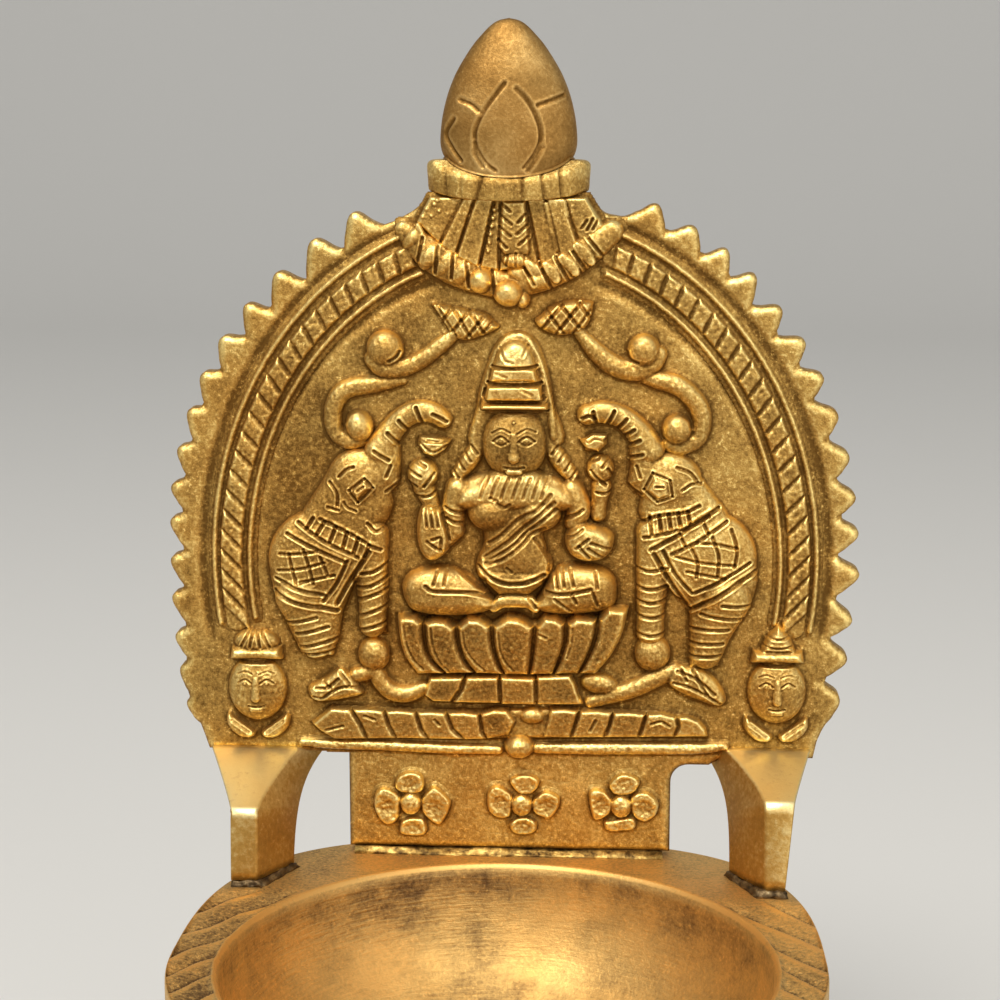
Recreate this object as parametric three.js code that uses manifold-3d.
// A cast brass oil lamp: an arched back plate in relief stands on the rim of a bowl with a turned foot.
// Millimetres, +Z up. The lamp faces -Y, and the origin is at the bottom centre of its overall box.
import * as THREE from 'three';
import { ConvexGeometry } from 'three/addons/geometries/ConvexGeometry.js';
import { mergeVertices } from 'three/addons/utils/BufferGeometryUtils.js';
import Module from 'manifold-3d';

const wasm = await Module();
wasm.setup();

// Foot, stud and nut
const FOOT_RADIUS = 25;
const FOOT_HEIGHT = 27;
const FOOT_HEM = 3.2;
const FOOT_WALL = 2.6;
const STEM_RADIUS = 7.4;
const KNOP_RADIUS = 10.4;
const SEAT_RADIUS = 10;
const STUD_RADIUS = 3;
const STUD_CLEARANCE = 0.3;
const STUD_REACH = 4;
const NUT_FLATS = 10;
const NUT_HEIGHT = 3.6;
const NUT_CLEARANCE = 0.3;
const STUD_TAIL = 1.4;

// Bowl
const BOWL_HEIGHT = 21;
const BOWL_INNER_RADIUS = 27;
const BOWL_WALL = 2.8;
const BOWL_FLOOR = 5;
const FLANGE_BACK = 35;
const FLANGE_HALF_WIDTH = 31.9;
const FLANGE_SQUARENESS = 3;
const FLANGE_THICKNESS = 3;
const SPOUT_REACH = 51;
const SPOUT_HALF_WIDTH = 4.6;
const SPOUT_TIP_HALF_WIDTH = 2.4;
const SPOUT_DEPTH = 7;
const SPOUT_WALL = 2.2;

// Back plate, with its heights measured up from the bowl's rim
const PLATE_THICKNESS = 2.4;
const PLATE_FACE = 30;
const PLATE_BOTTOM = 11.4;
const PLATE_CORNER = 32.4;
const PANEL_HALF_WIDTH = 16.8;
const SOLDER_HEIGHT = 0.6;
const ARCH_CENTRE = 32.5;
const ARCH_HALF_WIDTH = 37.2;
const ARCH_HALF_HEIGHT = 42;
const TEETH = 15;
const TOOTH_DEPTH = 2.7;
const FIRST_TOOTH = THREE.MathUtils.degToRad(25.6);
const LAST_TOOTH = THREE.MathUtils.degToRad(113.2);
const NECK_HALF_WIDTH = 8.2;
const NECK_DROP = 2.9;

// Struts
const STRUT_FRONT = 18.8;
const STRUT_CREASE = 5.8;
const STRUT_OUTER = 29.5;
const STRUT_INNER = 26.4;
const STRUT_BACK_INNER = 23.2;
const STRUT_TOP_INNER = 20.6;

// Relief: its middle lies a little right of the arch's, and the finial's and the panel's a little left of it
const RELIEF_SHIFT = 0.2;
const FINIAL_SHIFT = -0.6;
const RELIEF_DEPTH = 3.2;
const JOIN_GAP = 0.3;
const ROSETTE_RADIUS = 4;
const ROSETTE_DEPTH = 1.8;

// Finial
const COLLAR_HEIGHT = 3.4;
const COLLAR_DEPTH = 3.7;
const COLLAR_SAG = 2;
const BUD_HEIGHT = 14.4;
const BUD_HALF_WIDTH = 7.3;
const BUD_HALF_DEPTH = 3.6;

// The relief is drawn on a sheet of this size and stretched to the plate: its lengths are the sheet's
const SHEET = { halfWidth: 37.2, halfHeight: 42, centre: 32.5, bottom: 11.4, depth: 3.2 };

// Raised borders of the arch on the sheet: how far each lies in from the tips of the teeth
const BORDER = { start: 22, end: 98, height: 0.7, outerInset: 4.3, ropeInset: 6.4, innerInset: 9,
  ridgeWidth: 0.9, ropeWidth: 2.1, cuts: 16 };

const rimHeight = FOOT_HEIGHT + BOWL_HEIGHT;
const plateBack = PLATE_FACE + PLATE_THICKNESS;
const neckTop = ARCH_CENTRE + ARCH_HALF_HEIGHT - NECK_DROP;
const boxShift = (SPOUT_REACH - FLANGE_BACK) / 2;
const collarBottom = neckTop + JOIN_GAP;
const collarTop = collarBottom + COLLAR_HEIGHT;
const plateArch = { halfWidth: ARCH_HALF_WIDTH, halfHeight: ARCH_HALF_HEIGHT, centre: ARCH_CENTRE };

// Closed three.js geometry as a solid that can be joined and cut.
function solidOf(geometry) {
  const bare = geometry.index ? geometry.toNonIndexed() : geometry.clone();
  for (const name of ['normal', 'uv']) bare.deleteAttribute(name);
  const merged = mergeVertices(bare, 1e-4);
  return new wasm.Manifold(new wasm.Mesh({
    numProp: 3,
    vertProperties: merged.attributes.position.array,
    triVerts: new Uint32Array(merged.index.array),
  }));
}

function geometryOf(solid) {
  const mesh = solid.getMesh();
  const geometry = new THREE.BufferGeometry();
  geometry.setAttribute('position', new THREE.BufferAttribute(mesh.vertProperties, 3));
  geometry.setIndex(new THREE.BufferAttribute(mesh.triVerts, 1));
  const flat = geometry.toNonIndexed();
  flat.computeVertexNormals();
  return flat;
}

function joined(solids) {
  return solids.reduce((sum, next) => sum.add(next));
}

// A box from its lowest to its highest corner.
function boxSolid(low, high) {
  const size = high.map((value, i) => value - low[i]);
  const geometry = new THREE.BoxGeometry(...size);
  geometry.translate(...high.map((value, i) => (value + low[i]) / 2));
  return solidOf(geometry);
}

const behindFace = boxSolid([-80, 0, -80], [80, 40, 160]);

// Relief is drawn with the plate's face at y = 0 and the front at -y; what lies behind the face is cut off.
function onFace(solids) {
  return joined(solids).subtract(behindFace);
}

function dome([x, z], [rx, rz], height, turn = 0, segments = 12) {
  const geometry = new THREE.SphereGeometry(1, segments, Math.max(6, segments - 4));
  geometry.rotateX(Math.PI / 2);
  geometry.scale(rx, height, rz);
  geometry.rotateY(THREE.MathUtils.degToRad(turn));
  geometry.translate(x, 0, z);
  return solidOf(geometry);
}

// A rounded limb through points [x, z, radius], standing out from the face by bulge times its radius.
function limb(points, bulge = 1, sides = 8) {
  const links = points.slice(1).map((end, i) => {
    const start = points[i];
    const hull = [];
    for (const [x, z, r] of [start, end]) {
      for (let ring = 0; ring < sides; ring++) {
        const around = (2 * Math.PI * ring) / sides;
        for (const up of [-Math.PI / 4, 0, Math.PI / 4]) {
          const flat = r * Math.cos(up);
          hull.push(new THREE.Vector3(x + flat * Math.cos(around), r * bulge * Math.sin(up) * 1.2,
            z + flat * Math.sin(around)));
        }
      }
    }
    return solidOf(new ConvexGeometry(hull));
  });
  return joined(links);
}

// A closed outline of [x, z] points standing out from the face by height.
function slab(points, height, back = 0) {
  const shape = new THREE.Shape(points.map(([x, z]) => new THREE.Vector2(x, z)));
  const geometry = new THREE.ExtrudeGeometry(shape, { depth: height, bevelEnabled: false });
  geometry.rotateX(Math.PI / 2);
  geometry.translate(0, back, 0);
  return solidOf(geometry);
}

function mirrored(points) {
  return points.map(([x, ...rest]) => [-x, ...rest]);
}

function bar([x0, x1], [z0, z1], height) {
  return slab([[x0, z0], [x1, z0], [x1, z1], [x0, z1]], height);
}

const brass = (color, roughness) => new THREE.MeshStandardMaterial({ color, roughness, metalness: 1 });
const castBrass = brass(0xb5853c, 0.5);
const reliefBrass = brass(0xc39445, 0.42);
const turnedBrass = brass(0xc8994a, 0.32);
const solderGrey = brass(0x8d8a80, 0.6);
const steelish = brass(0x9a8a5c, 0.45);

const lamp = new THREE.Group();
lamp.position.y = boxShift;
const plateGroup = new THREE.Group();
plateGroup.position.set(0, PLATE_FACE, rimHeight);
const finialGroup = new THREE.Group();
finialGroup.position.set(FINIAL_SHIFT, PLATE_FACE, rimHeight);
const reliefGroup = new THREE.Group();
reliefGroup.position.set(RELIEF_SHIFT, PLATE_FACE, rimHeight);
lamp.add(plateGroup, finialGroup, reliefGroup);

// Adds a piece with a material of its own.
function addMesh(group, name, geometry, finish) {
  const mesh = new THREE.Mesh(geometry, finish.clone());
  mesh.name = name;
  group.add(mesh);
}

function addSolid(group, name, solid, finish) {
  addMesh(group, name, geometryOf(solid), finish);
}

// Adds a piece drawn on the sheet, stretched so that the sheet's edges meet the plate's.
function addRelief(group, name, solid) {
  const geometry = geometryOf(solid);
  geometry.translate(0, 0, -SHEET.bottom);
  geometry.scale(ARCH_HALF_WIDTH / SHEET.halfWidth, RELIEF_DEPTH / SHEET.depth,
    (ARCH_CENTRE + ARCH_HALF_HEIGHT - PLATE_BOTTOM) / (SHEET.centre + SHEET.halfHeight - SHEET.bottom));
  geometry.translate(0, 0, PLATE_BOTTOM);
  geometry.computeVertexNormals();
  addMesh(group, name, geometry, reliefBrass);
}

// A turned piece from [radius, height] points, closed on the axis or on itself.
function turned(profile, segments = 40) {
  const points = profile.map(([r, z]) => new THREE.Vector2(r, z));
  const geometry = new THREE.LatheGeometry(points, segments);
  geometry.rotateX(Math.PI / 2);
  return solidOf(geometry);
}

function foot() {
  const bore = STUD_RADIUS + STUD_CLEARANCE;
  const web = FOOT_HEIGHT * 0.42;
  return turned([
    [FOOT_RADIUS - FOOT_WALL, 0], [FOOT_RADIUS, 0], [FOOT_RADIUS, FOOT_HEM],
    [FOOT_RADIUS - 2, FOOT_HEM + 0.8], [FOOT_RADIUS - 3, FOOT_HEM + 2.6],
    [FOOT_RADIUS - 8, FOOT_HEM + 5.4], [STEM_RADIUS + 4, FOOT_HEM + 8.4],
    [STEM_RADIUS, FOOT_HEIGHT - 12], [STEM_RADIUS, FOOT_HEIGHT - 9.6], [KNOP_RADIUS - 1, FOOT_HEIGHT - 8.6],
    [KNOP_RADIUS, FOOT_HEIGHT - 6.8], [KNOP_RADIUS - 1, FOOT_HEIGHT - 5], [STEM_RADIUS, FOOT_HEIGHT - 4],
    [STEM_RADIUS, FOOT_HEIGHT - 2.8], [SEAT_RADIUS, FOOT_HEIGHT - 1.2], [SEAT_RADIUS, FOOT_HEIGHT],
    [bore, FOOT_HEIGHT], [bore, web], [NUT_FLATS - 1, web], [NUT_FLATS + 1, web - 2.6],
    [FOOT_RADIUS - FOOT_WALL - 3, FOOT_HEM],
    [FOOT_RADIUS - FOOT_WALL, 0],
  ]);
}

function studAndNut() {
  const web = FOOT_HEIGHT * 0.42;
  const nutTop = web;
  const nutBottom = nutTop - NUT_HEIGHT;
  const studBottom = nutBottom - STUD_TAIL;
  const studTop = FOOT_HEIGHT + STUD_REACH - STUD_CLEARANCE;
  const stud = turned([[0, studBottom], [STUD_RADIUS - 0.5, studBottom], [STUD_RADIUS, studBottom + 0.5],
    [STUD_RADIUS, studTop - 0.5], [STUD_RADIUS - 0.5, studTop], [0, studTop]], 20);
  const corner = NUT_FLATS / Math.sqrt(3);
  const hexagon = new THREE.CylinderGeometry(corner, corner, NUT_HEIGHT, 6);
  hexagon.rotateX(Math.PI / 2);
  hexagon.translate(0, 0, nutBottom + NUT_HEIGHT / 2);
  const wide = STUD_RADIUS + NUT_CLEARANCE;
  const bore = new THREE.CylinderGeometry(wide, wide, NUT_HEIGHT * 2, 20);
  bore.rotateX(Math.PI / 2);
  bore.translate(0, 0, nutBottom + NUT_HEIGHT / 2);
  return { stud, nut: solidOf(hexagon).subtract(solidOf(bore)) };
}

// The flange's leaf outline: a rounded square at the back, drawn in to the spout's tip in front.
function leafOutline() {
  const back = Array.from({ length: 33 }, (_, i) => {
    const a = (i / 32) * Math.PI;
    const power = 2 / FLANGE_SQUARENESS;
    return new THREE.Vector2(Math.sign(Math.cos(a)) * FLANGE_HALF_WIDTH * Math.abs(Math.cos(a)) ** power,
      FLANGE_BACK * Math.sin(a) ** power);
  });
  const tip = SPOUT_TIP_HALF_WIDTH + SPOUT_WALL;
  const shoulder = -SPOUT_REACH * 0.38;
  const throat = -SPOUT_REACH * 0.72;
  const shape = new THREE.Shape(back);
  shape.bezierCurveTo(-FLANGE_HALF_WIDTH, shoulder, -tip * 2.1, throat, -tip, -SPOUT_REACH);
  shape.lineTo(tip, -SPOUT_REACH);
  shape.bezierCurveTo(tip * 2.1, throat, FLANGE_HALF_WIDTH, shoulder, FLANGE_HALF_WIDTH, 0);
  return shape;
}

function bowl() {
  const floor = FOOT_HEIGHT;
  const outerRadius = BOWL_INNER_RADIUS + BOWL_WALL;
  const shellTop = rimHeight - FLANGE_THICKNESS;
  const depth = BOWL_HEIGHT - BOWL_FLOOR;
  const curve = (radius, height, base, from) => Array.from({ length: 9 }, (_, i) => {
    const a = (i / 8) * (Math.PI / 2);
    return [from + (radius - from) * Math.sin(a), base + height * (1 - Math.cos(a))];
  });
  const shell = turned([[0, floor], [SEAT_RADIUS, floor], [SEAT_RADIUS, floor + 1],
    ...curve(outerRadius, shellTop - floor - 2, floor + 2, SEAT_RADIUS + 1), [outerRadius, shellTop + 1],
    [0, shellTop + 1]]);
  const flange = new THREE.ExtrudeGeometry(leafOutline(),
    { depth: FLANGE_THICKNESS, bevelEnabled: false, curveSegments: 20 });
  flange.translate(0, 0, rimHeight - FLANGE_THICKNESS);
  const keel = (half, y, z) => [new THREE.Vector3(-half, y, z), new THREE.Vector3(half, y, z)];
  const outerTop = rimHeight - FLANGE_THICKNESS + 0.5;
  const spoutBody = new ConvexGeometry([
    ...keel(SPOUT_HALF_WIDTH + SPOUT_WALL + 3, -BOWL_INNER_RADIUS + 4, outerTop),
    ...keel(SPOUT_TIP_HALF_WIDTH + SPOUT_WALL - 0.4, -SPOUT_REACH + 0.8, outerTop),
    ...keel(SPOUT_HALF_WIDTH, -BOWL_INNER_RADIUS + 4, rimHeight - SPOUT_DEPTH - 4.4),
    ...keel(SPOUT_TIP_HALF_WIDTH * 0.6, -SPOUT_REACH + 3.4, rimHeight - SPOUT_DEPTH + 1.4),
  ]);
  const hollow = turned([[0, rimHeight - depth], [BOWL_INNER_RADIUS * 0.42, rimHeight - depth],
    ...curve(BOWL_INNER_RADIUS, depth - 1, rimHeight - depth + 0.6, BOWL_INNER_RADIUS * 0.5),
    [BOWL_INNER_RADIUS, rimHeight + 2], [0, rimHeight + 2]]);
  const channel = new ConvexGeometry([
    ...keel(SPOUT_HALF_WIDTH, -BOWL_INNER_RADIUS + 6, rimHeight + 1),
    ...keel(SPOUT_TIP_HALF_WIDTH, -SPOUT_REACH - 1, rimHeight + 1),
    ...keel(SPOUT_HALF_WIDTH, -BOWL_INNER_RADIUS + 6, rimHeight - 2),
    ...keel(SPOUT_TIP_HALF_WIDTH, -SPOUT_REACH - 1, rimHeight - 1.4),
    ...keel(SPOUT_HALF_WIDTH * 0.45, -BOWL_INNER_RADIUS + 6, rimHeight - SPOUT_DEPTH),
    ...keel(SPOUT_TIP_HALF_WIDTH * 0.45, -SPOUT_REACH - 1, rimHeight - SPOUT_DEPTH * 0.45),
  ]);
  const studHole = turned([[0, floor - 1], [STUD_RADIUS + STUD_CLEARANCE, floor - 1],
    [STUD_RADIUS + STUD_CLEARANCE, floor + STUD_REACH], [0, floor + STUD_REACH]], 20);
  return joined([shell, solidOf(flange), solidOf(spoutBody)]).subtract(hollow).subtract(solidOf(channel))
    .subtract(studHole);
}

// A point on an arch's ellipse, inset from the tips of the teeth, at an angle from the top.
function archPoint(arch, angle, inset, side) {
  return [side * (arch.halfWidth - inset) * Math.sin(angle),
    arch.centre + (arch.halfHeight - inset) * Math.cos(angle)];
}

// Teeth down one side, from the neck to the lower corner: each leans up, with a steep flank below its tip.
function toothedEdge(side) {
  const step = (LAST_TOOTH - FIRST_TOOTH) / (TEETH - 1);
  const flank = [[-0.12, 0.2], [0.02, 0], [0.14, 0.12], [0.22, 0.4], [0.3, 0.9]];
  const points = [];
  for (let i = 0; i < TEETH; i++) {
    const at = FIRST_TOOTH + step * i;
    const last = i === TEETH - 1;
    for (const [along, depth] of last ? flank.slice(0, 3) : flank) {
      points.push(archPoint(plateArch, at + along * step, depth * TOOTH_DEPTH, side));
    }
    if (!last) points.push(archPoint(plateArch, at + 0.52 * step, TOOTH_DEPTH, side));
  }
  return points;
}

function backPlate() {
  const neck = [[NECK_HALF_WIDTH, neckTop], [NECK_HALF_WIDTH + 0.4, neckTop - 1.2],
    [NECK_HALF_WIDTH + 2, neckTop - 2.2], [NECK_HALF_WIDTH + 4.4, neckTop - 2.9]];
  const corner = [[PLATE_CORNER + 0.6, PLATE_BOTTOM + 3.2], [PLATE_CORNER, PLATE_BOTTOM]];
  const foot = [[PANEL_HALF_WIDTH, PLATE_BOTTOM], [PANEL_HALF_WIDTH, SOLDER_HEIGHT]];
  const shifted = (points, by) => points.map(([x, z]) => [x + by, z]);
  const side = (sign) => [...shifted(sign < 0 ? mirrored(neck) : neck, FINIAL_SHIFT), ...toothedEdge(sign),
    ...(sign < 0 ? mirrored(corner) : corner), ...shifted(sign < 0 ? mirrored(foot) : foot, FINIAL_SHIFT)];
  return slab([...side(1), ...side(-1).reverse()], PLATE_THICKNESS, PLATE_THICKNESS);
}

// A raised band that follows the arch on one side of the sheet, between two angles.
function archBand(inset, width, side) {
  const steps = 22;
  const from = THREE.MathUtils.degToRad(BORDER.start);
  const span = THREE.MathUtils.degToRad(BORDER.end) - from;
  const along = Array.from({ length: steps + 1 }, (_, i) => from + (span * i) / steps);
  const outer = along.map((a) => archPoint(SHEET, a, inset, side));
  const inner = along.map((a) => archPoint(SHEET, a, inset + width, side)).reverse();
  return slab([...outer, ...inner], BORDER.height);
}

function ropeBorder(side) {
  let band = archBand(BORDER.ropeInset, BORDER.ropeWidth, side);
  const from = THREE.MathUtils.degToRad(BORDER.start);
  const pitch = (THREE.MathUtils.degToRad(BORDER.end) - from) / (BORDER.cuts + 1);
  for (let i = 1; i <= BORDER.cuts; i++) {
    const at = from + pitch * i;
    const [x0, z0] = archPoint(SHEET, at - pitch / 2.4, BORDER.ropeInset - 0.4, side);
    const [x1, z1] = archPoint(SHEET, at + pitch / 2.4, BORDER.ropeInset + BORDER.ropeWidth + 0.4, side);
    const across = new THREE.Vector2(z1 - z0, x0 - x1).setLength(0.2);
    const cut = slab([[x0 + across.x, z0 + across.y], [x0 - across.x, z0 - across.y],
      [x1 - across.x, z1 - across.y], [x1 + across.x, z1 + across.y]], 1, -0.35);
    band = band.subtract(cut);
  }
  return band;
}

// A strut's cross-section at one height, from its front inner corner round to its back inner corner.
function strutRing(side, front, z, { inner, outer, outerBack, depth, backInner, backDepth }) {
  return [[inner, front], [outer, front], [outerBack, front + depth], [backInner, front + backDepth]]
    .map(([x, y]) => new THREE.Vector3(side * x, y - PLATE_FACE, z));
}

function strut(side) {
  const crease = strutRing(side, STRUT_FRONT + 0.4, STRUT_CREASE, { inner: STRUT_INNER, outer: STRUT_OUTER,
    outerBack: STRUT_OUTER - 0.6, depth: 5.6, backInner: STRUT_BACK_INNER, backDepth: 6.6 });
  const foot = strutRing(side, STRUT_FRONT, SOLDER_HEIGHT, { inner: STRUT_INNER, outer: STRUT_OUTER - 0.2,
    outerBack: STRUT_OUTER - 2.2, depth: 4.4, backInner: STRUT_BACK_INNER, backDepth: 5.8 });
  const under = (x, y, drop) => new THREE.Vector3(side * x, y, PLATE_BOTTOM - drop);
  const corner = PLATE_CORNER - 0.4;
  const bracket = new ConvexGeometry([...crease, under(STRUT_TOP_INNER, 0, 0), under(corner, 0, 0),
    under(STRUT_TOP_INNER, PLATE_THICKNESS, 0), under(corner, PLATE_THICKNESS, 0),
    under(STRUT_TOP_INNER + 1, PLATE_THICKNESS, 1.6), under(corner - 1, PLATE_THICKNESS, 1.6)]);
  return solidOf(bracket).add(solidOf(new ConvexGeometry([...crease, ...foot])));
}

function strutSolder(side) {
  const ring = (spread, z) => strutRing(side, STRUT_FRONT - spread, z, {
    inner: STRUT_INNER - spread, outer: STRUT_OUTER - 0.4 + spread / 4,
    outerBack: STRUT_OUTER - 2.4 + spread / 3, depth: 4.2 + spread * 1.5,
    backInner: STRUT_BACK_INNER - spread, backDepth: 5.8 + spread * 1.5,
  });
  return solidOf(new ConvexGeometry([...ring(0.5, 0), ...ring(0.1, SOLDER_HEIGHT)]));
}

function panelSolder() {
  const spread = 0.7;
  const corners = [[0, spread], [SOLDER_HEIGHT, 0]].flatMap(([z, grow]) => [-1, 1].flatMap((side) => [
    new THREE.Vector3(side * PANEL_HALF_WIDTH, -grow, z),
    new THREE.Vector3(side * PANEL_HALF_WIDTH, PLATE_THICKNESS, z)]));
  return solidOf(new ConvexGeometry(corners));
}

// Flattened turned forms, centred on the plate's thickness, whose lower edges sag in front of its face.
function flattened(profile, halfDepth, halfWidth) {
  const points = profile.map(([r, z]) => new THREE.Vector2(r, z));
  const geometry = new THREE.LatheGeometry(points, 24);
  geometry.rotateX(Math.PI / 2);
  geometry.scale(1, halfDepth / halfWidth, 1);
  const face = PLATE_THICKNESS / 2;
  const spots = geometry.attributes.position;
  for (let i = 0; i < spots.count; i++) {
    const front = Math.max(0, (-spots.getY(i) - face) / (COLLAR_DEPTH - face));
    const z = spots.getZ(i);
    const inCollar = 0.4 + 0.6 * (z - collarBottom) / COLLAR_HEIGHT;
    const inBud = 1 - (z - collarTop) / BUD_HEIGHT;
    spots.setZ(i, z - COLLAR_SAG * front * Math.min(inCollar, inBud));
  }
  geometry.translate(0, face, 0);
  return solidOf(geometry);
}

function collar() {
  const half = NECK_HALF_WIDTH + 0.5;
  return flattened([[0, collarBottom], [half - 1, collarBottom], [half, collarBottom + 0.9],
    [half, collarTop - 0.8], [half - 0.8, collarTop], [0, collarTop]], COLLAR_DEPTH, half);
}

function bud() {
  const base = collarTop + JOIN_GAP;
  const height = BUD_HEIGHT - JOIN_GAP;
  const rings = [[0.9, 0], [0.99, 0.1], [1, 0.2], [0.97, 0.34], [0.88, 0.5], [0.74, 0.66], [0.55, 0.81],
    [0.32, 0.93], [0.14, 0.985]];
  return flattened([[0, base], ...rings.map(([r, z]) => [r * BUD_HALF_WIDTH, base + z * height]),
    [0, base + height]], BUD_HALF_DEPTH, BUD_HALF_WIDTH);
}

function drape() {
  const folds = [[1.3, 70.7, 1.9, 63.8], [2.9, 70.8, 3.8, 64.6], [4.7, 70.9, 5.8, 65.6],
    [6.4, 71, 7.9, 66.8], [8.3, 71.1, 10.1, 68.4]];
  const pleats = folds.slice(1).map(([x1, z1, x3, z3], i) => {
    const [x0, z0, x2, z2] = folds[i];
    return [[x0 + 0.12, z0], [x1 - 0.12, z1], [x3 - 0.12, z3], [x2 + 0.12, z2]];
  });
  const tassel = [[-1.1, 70.7], [1.1, 70.7], [1.6, 64.6], [0, 63.4], [-1.6, 64.6]];
  const backing = [[-8, 70.6], [8, 70.6], [9, 68.6], [1.6, 64.2], [-1.6, 64.2], [-9, 68.6]];
  const both = [...pleats, ...pleats.map(mirrored)];
  return onFace([...both.map((pleat) => slab(pleat, 1.6)), slab(tassel, 1.9), slab(backing, 0.8)]);
}

// Beads on a cord: the cord narrows between one bead and the next.
function garland() {
  const beads = [[10, 66.6, 1.1], [8.6, 65, 1.3], [6.9, 63.4, 1.4], [5, 62.2, 1.5], [2.8, 61.3, 1.6]];
  const middle = [0, 60.8, 1.2];
  const cord = beads.flatMap(([x, z, r], i) => {
    const [nextX, nextZ] = beads[i + 1] ?? middle;
    return [[x, z, r], [(x + nextX) / 2, (z + nextZ) / 2, r * 0.72]];
  });
  return onFace([limb([...cord, middle], 1.4, 6), limb([...mirrored(cord), middle], 1.4, 6),
    dome([0, 60.7], [1.8, 2], 2.8)]);
}

function scroll(side) {
  const flip = (points) => (side < 0 ? mirrored(points) : points);
  const upper = [[9, 56, 0.9], [9.4, 54.4, 1], [12, 53.2, 1.1], [14.6, 53.7, 1.1], [15.4, 55.6, 0.9]];
  const lower = [[12.6, 52.6, 0.7], [15.6, 52.4, 1], [18.6, 51.1, 1.1], [20.2, 48.8, 1.1], [20, 46.8, 0.9]];
  return onFace([limb(flip(upper), 1.2), limb(flip(lower), 1.2), dome([side * 13.4, 55.6], [1.9, 1.8], 1.9),
    dome([side * 18, 48.2], [2, 1.6], 1.9)]);
}

const fruit = (side) => onFace([dome([side * 5.6, 58.3], [3, 1.6], 1.6, side * 10)]);

function goddess() {
  const crown = [dome([0, 53.4], [2.2, 3.4], 2.4), dome([0, 51.9], [2.9, 1.6], 2.7),
    dome([0, 50.2], [3.3, 1.4], 3)];
  const head = dome([0, 46.5], [3.5, 4.2], 3.2);
  const torso = [dome([0, 39.4], [5.6, 4.6], 2.9), dome([0, 34.8], [4.4, 5.4], 2.6),
    limb([[-5.2, 41.6, 1.6], [5.2, 41.6, 1.6]], 1.5)];
  const arm = [[5.6, 41, 1.5], [7.2, 38, 1.4], [8.3, 36.2, 1.3]];
  const raised = [[-5.6, 41, 1.5], [-6.7, 37.8, 1.4], [-8, 35.8, 1.4], [-8.8, 38.2, 1.3]];
  const legs = [limb([[-9.4, 30.2, 1.9], [-4, 30, 1.9], [3, 28.9, 1.4]], 1.4),
    limb([[9.4, 30.2, 1.9], [4, 30, 1.9], [-3, 28.9, 1.4]], 1.4)];
  const hair = [limb([[-3.4, 46, 0.9], [-4.6, 43, 1]], 1.2), limb([[3.4, 46, 0.9], [4.6, 43, 1]], 1.2)];
  const fist = dome([8.4, 35.2], [2.1, 1.9], 2.4);
  return onFace([...crown, head, ...torso, limb(arm, 1.5), fist, limb(raised, 1.5), ...legs, ...hair]);
}

function raisedHand(side) {
  const stem = [[side * 9.2, 39.6 + JOIN_GAP * 4, 1], [side * 9.4, 43, 1.6], [side * 9, 46.4, 1.4]];
  return onFace([limb(stem, 1.3)]);
}

function lotusSeat() {
  const low = 20.4;
  const high = 27;
  const petals = [];
  for (let i = -3; i <= 3; i++) {
    const bulge = 2.7 - 0.12 * Math.abs(i);
    petals.push(dome([i * 3.1, (low + high) / 2], [2, (high - low) / 2 - 0.1], bulge, i * 3, 10));
  }
  return onFace([...petals, bar([-10.6, 10.6], [low + 1.6, high - 0.9], 1.1)]);
}

function seatPlinth() {
  const low = 17;
  const high = 19.6;
  const bricks = [[-10.4, -5.9, -9.2, -4.8], [-5.6, -1.7, -4.5, -1.3], [-1.4, 2.2, -1, 1.9],
    [2.5, 7.6, 2.2, 6]].map(([x0, x1, x2, x3]) => slab([[x0, low], [x1, low], [x3, high], [x2, high]], 1.4));
  const backing = slab([[-10, low + 0.2], [7.2, low + 0.2], [5.8, high - 0.2], [-9, high - 0.2]], 0.8);
  return onFace([...bricks, backing]);
}

function groundScroll(side) {
  const flip = (points) => (side < 0 ? mirrored(points) : points);
  const wave = [[11.2, 18, 0.8], [14, 19.4, 1], [17.4, 19.4, 1], [21, 17.8, 0.9]];
  const leaf = [[17.6, 20.6, 0.6], [20.4, 19.4, 0.8]];
  return onFace([limb(flip(wave), 1.2), limb(flip(leaf), 1.2), dome([side * 14.4, 22], [1.9, 2.2], 1.8)]);
}

function elephant(side) {
  const flip = (points) => (side < 0 ? mirrored(points) : points);
  const trunk = [[15.3, 43.8, 1.8], [14.2, 46.6, 1.6], [11.8, 48.8, 1.4], [9.3, 49.6, 1.3],
    [7.8, 48.8, 1.1]];
  const parts = [
    dome([side * 19.4, 35], [4.9, 7.2], 3, side * -28),
    dome([side * 16.2, 42], [3.3, 3.7], 2.7, side * -30),
    dome([side * 22.6, 31.4], [3.2, 3.8], 2.6, 0),
    limb(flip(trunk), 1.3),
    limb(flip([[15.6, 38, 2], [14.9, 33.4, 1.5], [14.8, 26, 1.3]]), 1.5),
    limb(flip([[21.6, 30, 2.6], [20.6, 25.6, 1.8], [20, 22.4, 1.5]]), 1.4),
  ];
  return onFace(parts);
}

function sideHead(side) {
  const x = side * 27.6;
  const crown = [dome([x, 22.5], [2.7, 1.2], 2.8), dome([x, 24], [1.9, 1.6], 2.2)];
  return onFace([dome([x, 19.6], [3.1, 3.7], 3), ...crown,
    limb([[x - 2.8, 15.3, 0.9], [x, 16.2, 1.1], [x + 2.8, 15.3, 0.9]], 1.2)]);
}

function ropeBand() {
  const count = 13;
  const span = 42;
  const pitch = span / count;
  const strands = [];
  for (let i = 0; i < count; i++) {
    const x = -span / 2 + pitch * (i + 0.5);
    const lean = x < 0 ? 1 : -1;
    strands.push(limb([[x - lean * 1.1, 15.5, 0.9], [x, 14.7, 1.2], [x + lean * 1.1, 13.9, 0.9]], 1.1, 6));
  }
  return onFace([...strands, bar([-span / 2 + 1, span / 2 - 1], [13.6, 15.8], 0.6)]);
}

const bottomLedge = () => onFace([bar([-19.6, 19.6], [11.5, 12.4], 1.1)]);

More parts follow.
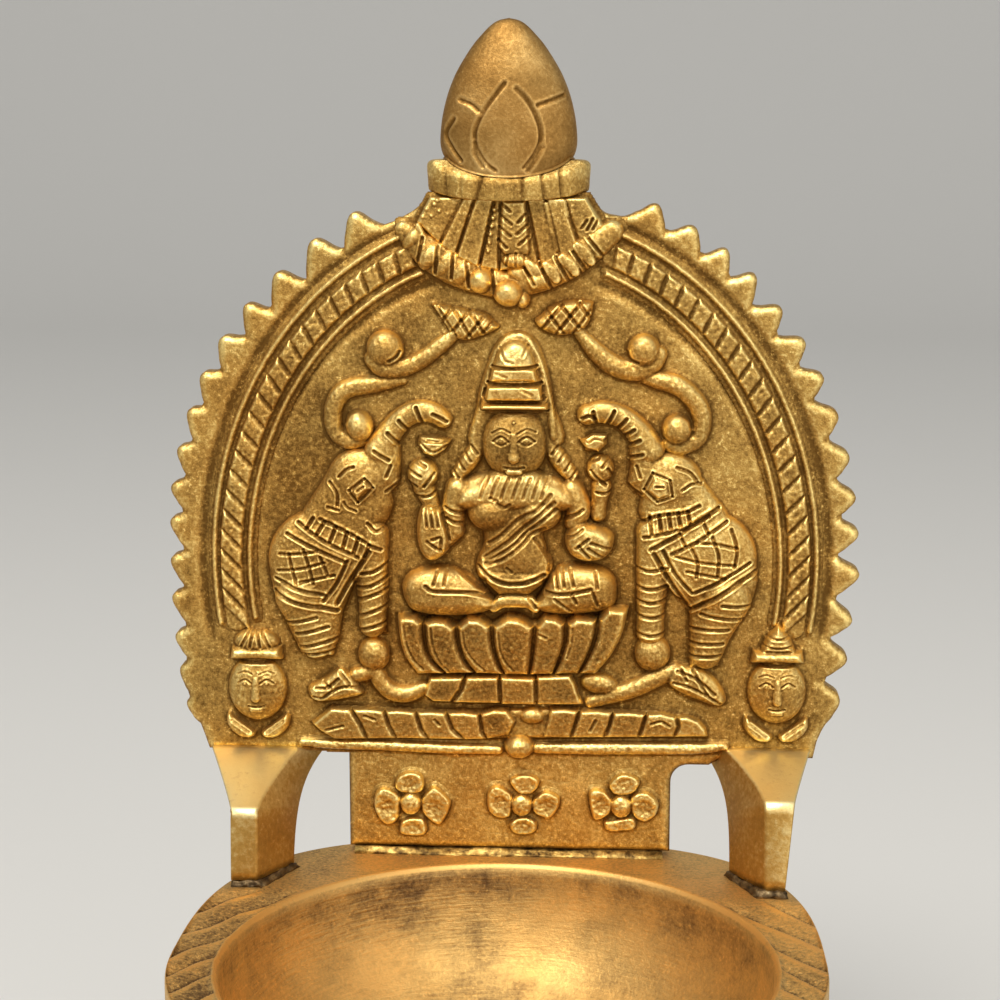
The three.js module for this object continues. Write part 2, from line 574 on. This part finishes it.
function rosette(x) {
  const r = ROSETTE_RADIUS;
  const z = (PLATE_BOTTOM + SOLDER_HEIGHT) / 2;
  const petals = [0, 90, 180, 270].map((turn) => {
    const a = THREE.MathUtils.degToRad(turn);
    const middle = [x + 0.6 * r * Math.sin(a), z + 0.57 * r * Math.cos(a)];
    return dome(middle, [0.42 * r, 0.4 * r], ROSETTE_DEPTH * 0.8, 0, 8);
  });
  return onFace([...petals, dome([x, z], [0.3 * r, 0.3 * r], ROSETTE_DEPTH, 0, 8)]);
}

function build() {
  addSolid(lamp, 'foot', foot(), turnedBrass);
  const { stud, nut } = studAndNut();
  addSolid(lamp, 'foot_stud', stud, steelish);
  addSolid(lamp, 'foot_nut', nut, steelish);
  addSolid(lamp, 'bowl', bowl(), turnedBrass);
  addSolid(plateGroup, 'back_plate', backPlate(), castBrass);
  addSolid(finialGroup, 'panel_solder', panelSolder(), solderGrey);
  addSolid(finialGroup, 'finial_collar', collar(), castBrass);
  addSolid(finialGroup, 'finial_bud', bud(), castBrass);
  addRelief(finialGroup, 'finial_drape', drape());
  addRelief(finialGroup, 'garland', garland());
  for (const [word, side] of [['left', -1], ['right', 1]]) {
    addSolid(plateGroup, `${word}_strut`, strut(side), castBrass);
    addSolid(plateGroup, `${word}_strut_solder`, strutSolder(side), solderGrey);
    addRelief(plateGroup, `${word}_outer_ridge`, archBand(BORDER.outerInset, BORDER.ridgeWidth, side));
    addRelief(plateGroup, `${word}_inner_ridge`, archBand(BORDER.innerInset, BORDER.ridgeWidth, side));
    addRelief(plateGroup, `${word}_rope_border`, ropeBorder(side));
    addRelief(reliefGroup, `${word}_scroll`, scroll(side));
    addRelief(reliefGroup, `${word}_fruit`, fruit(side));
    addRelief(reliefGroup, `${word}_elephant`, elephant(side));
    addRelief(reliefGroup, `${word}_raised_hand`, raisedHand(side));
    addRelief(reliefGroup, `${word}_ground_scroll`, groundScroll(side));
    addRelief(reliefGroup, `${word}_side_head`, sideHead(side));
  }
  addRelief(reliefGroup, 'seated_goddess', goddess());
  addRelief(reliefGroup, 'lotus_seat', lotusSeat());
  addRelief(reliefGroup, 'seat_plinth', seatPlinth());
  addRelief(reliefGroup, 'rope_band', ropeBand());
  addRelief(reliefGroup, 'bottom_ledge', bottomLedge());
  const spread = PANEL_HALF_WIDTH * 0.68;
  for (const [word, x] of [['left', -spread], ['middle', 0], ['right', spread]]) {
    addSolid(reliefGroup, `${word}_rosette`, rosette(x), reliefBrass);
  }
}

build();

export default lamp;
